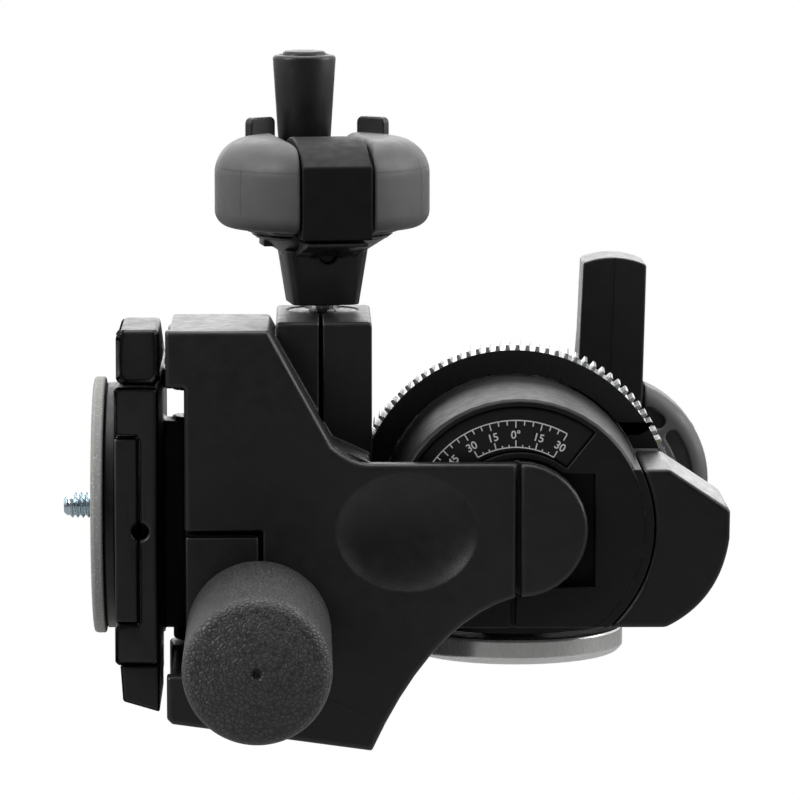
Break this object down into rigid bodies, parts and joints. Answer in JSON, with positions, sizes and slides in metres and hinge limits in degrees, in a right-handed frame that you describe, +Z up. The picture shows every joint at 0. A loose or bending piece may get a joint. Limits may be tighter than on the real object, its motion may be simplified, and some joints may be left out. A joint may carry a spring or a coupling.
{
  "type": "geared tripod head",
  "caption": "Three-way geared tripod head with worm drives for pan, side tilt and front tilt, winged crank knobs, an angle scale and a quick-release camera plate.",
  "frame": {"origin": "centre of the base disc's underside, on the pan axis, where the tripod's stud enters", "axes": "+Z up along the pan axis; the side tilt axis runs along Y, +Y away from the arm's outer face; at rest the camera plate faces -X"},
  "size_m": [0.1553, 0.1932, 0.156],
  "materials": {
    "pan_housing": "satin black",
    "pan_worm_cover": "satin black",
    "main_casting": "satin black",
    "arm_end_cap": "satin black",
    "front_cover_plate": "satin black",
    "adapter_body": "satin black",
    "fixed_jaw": "satin black",
    "lock_lever": "satin black",
    "camera_plate": "satin black",
    "scale_plate": "fine matt black",
    "tilt_knob_core": "fine matt black",
    "pan_knob_core": "fine matt black",
    "front_knob_core": "fine matt black",
    "tilt_knob_crank_grip": "fine matt black",
    "pan_knob_crank_grip": "fine matt black",
    "tilt_knob_crank_arm": "fine matt black",
    "pan_knob_crank_arm": "fine matt black",
    "tilt_knob_left_lobe": "satin grey-black",
    "tilt_knob_right_lobe": "satin grey-black",
    "pan_knob_left_lobe": "satin grey-black",
    "pan_knob_right_lobe": "satin grey-black",
    "front_knob_grip": "satin grey-black",
    "camera_disc": "matt grey",
    "base_disc": "turned",
    "tilt_worm_wheel": "turned",
    "tilt_knob_washer": "turned",
    "pan_knob_washer": "turned",
    "pan_column": "machined",
    "column_nut": "machined",
    "pan_worm": "machined",
    "tilt_worm": "machined",
    "front_worm": "machined",
    "tilt_spindle": "machined",
    "front_pivot_pin": "machined",
    "lever_screw": "machined",
    "camera_screw": "machined",
    "tilt_knob_set_screw": "machined",
    "pan_knob_set_screw": "machined",
    "pan_worm_wheel": "machined",
    "tilt_worm_bush": "machined",
    "front_worm_wheel": "machined"
  },
  "bodies": {
    "base": {"base_disc": "base_disc", "pan_column": "pan_column", "pan_worm_wheel": "pan_worm_wheel", "column_nut": "column_nut"},
    "pan": {"pan_housing": "pan_housing", "pan_worm_cover": "pan_worm_cover", "scale_plate": "scale_plate", "tilt_worm_wheel": "tilt_worm_wheel", "pan_knob_washer": "pan_knob_washer"},
    "pan_control": {"pan_worm": "pan_worm", "pan_knob_core": "pan_knob_core", "pan_knob_left_lobe": "pan_knob_left_lobe", "pan_knob_right_lobe": "pan_knob_right_lobe", "pan_knob_set_screw": "pan_knob_set_screw"},
    "pan_crank": {"pan_knob_crank_arm": "pan_knob_crank_arm"},
    "pan_spinner": {"pan_knob_crank_grip": "pan_knob_crank_grip"},
    "tilt": {"main_casting": "main_casting", "arm_end_cap": "arm_end_cap", "tilt_spindle": "tilt_spindle", "tilt_worm_bush": "tilt_worm_bush", "front_cover_plate": "front_cover_plate", "front_pivot_pin": "front_pivot_pin", "tilt_knob_washer": "tilt_knob_washer"},
    "tilt_control": {"tilt_worm": "tilt_worm", "tilt_knob_core": "tilt_knob_core", "tilt_knob_left_lobe": "tilt_knob_left_lobe", "tilt_knob_right_lobe": "tilt_knob_right_lobe", "tilt_knob_set_screw": "tilt_knob_set_screw"},
    "tilt_crank": {"tilt_knob_crank_arm": "tilt_knob_crank_arm"},
    "tilt_spinner": {"tilt_knob_crank_grip": "tilt_knob_crank_grip"},
    "front": {"adapter_body": "adapter_body", "front_worm_wheel": "front_worm_wheel", "fixed_jaw": "fixed_jaw", "lever_screw": "lever_screw"},
    "front_control": {"front_worm": "front_worm", "front_knob_core": "front_knob_core", "front_knob_grip": "front_knob_grip"},
    "quick_plate": {"camera_plate": "camera_plate", "camera_disc": "camera_disc"},
    "screw": {"camera_screw": "camera_screw"},
    "lever": {"lock_lever": "lock_lever"}
  },
  "joints": [
    {"name": "pan_turn", "type": "hinge", "parent": "base", "child": "pan", "pos_m": [0, 0, 0], "axis": [0, 0, 1], "continuous": true},
    {"name": "pan_knob_turn", "type": "hinge", "parent": "pan", "child": "pan_control", "pos_m": [0.0247, 0.036, 0.0317], "axis": [0, 1, 0], "continuous": true},
    {"name": "pan_crank_slide", "type": "slide", "parent": "pan_control", "child": "pan_crank", "axis": [0.0349, 0, 0.9994], "range_m": [-0.023, 0]},
    {"name": "pan_grip_spin", "type": "hinge", "parent": "pan_crank", "child": "pan_spinner", "pos_m": [0.02717, 0.0719, 0.07664], "axis": [0, 1, 0], "continuous": true},
    {"name": "side_tilt", "type": "hinge", "parent": "pan", "child": "tilt", "pos_m": [0, 0, 0.0335], "axis": [0, 1, 0], "range_deg": [0, 120]},
    {"name": "tilt_knob_turn", "type": "hinge", "parent": "tilt", "child": "tilt_control", "pos_m": [-0.0448, 0.008, 0.0793], "axis": [0, 0, 1], "continuous": true},
    {"name": "tilt_crank_slide", "type": "slide", "parent": "tilt_control", "child": "tilt_crank", "axis": [-0.1478, 0.989, 0], "range_m": [0, 0.023]},
    {"name": "tilt_grip_spin", "type": "hinge", "parent": "tilt_crank", "child": "tilt_spinner", "pos_m": [-0.04894, 0.02962, 0.1152], "axis": [0, 0, 1], "continuous": true},
    {"name": "front_tilt", "type": "hinge", "parent": "tilt", "child": "front", "pos_m": [-0.075, 0.012, 0.0335], "axis": [0, 0, -1], "range_deg": [0, 90]},
    {"name": "front_knob_turn", "type": "hinge", "parent": "tilt", "child": "front_control", "pos_m": [-0.0595, -0.04, 0.0106], "axis": [0, 1, 0], "continuous": true},
    {"name": "plate_release", "type": "slide", "parent": "front", "child": "quick_plate", "axis": [-1, 0, 0], "range_m": [0, 0.008]},
    {"name": "screw_turn", "type": "hinge", "parent": "quick_plate", "child": "screw", "pos_m": [-0.0868, 0, 0.0342], "axis": [1, 0, 0], "continuous": true},
    {"name": "lever_swing", "type": "hinge", "parent": "front", "child": "lever", "pos_m": [-0.0823, 0.014, -0.003], "axis": [1, 0, 0], "range_deg": [0, 35]}
  ],
  "couplings": [
    {"joint": "pan_knob_turn", "follows": "pan_turn", "ratio": 48},
    {"joint": "tilt_knob_turn", "follows": "side_tilt", "ratio": 100},
    {"joint": "front_knob_turn", "follows": "front_tilt", "ratio": 28}
  ]
}
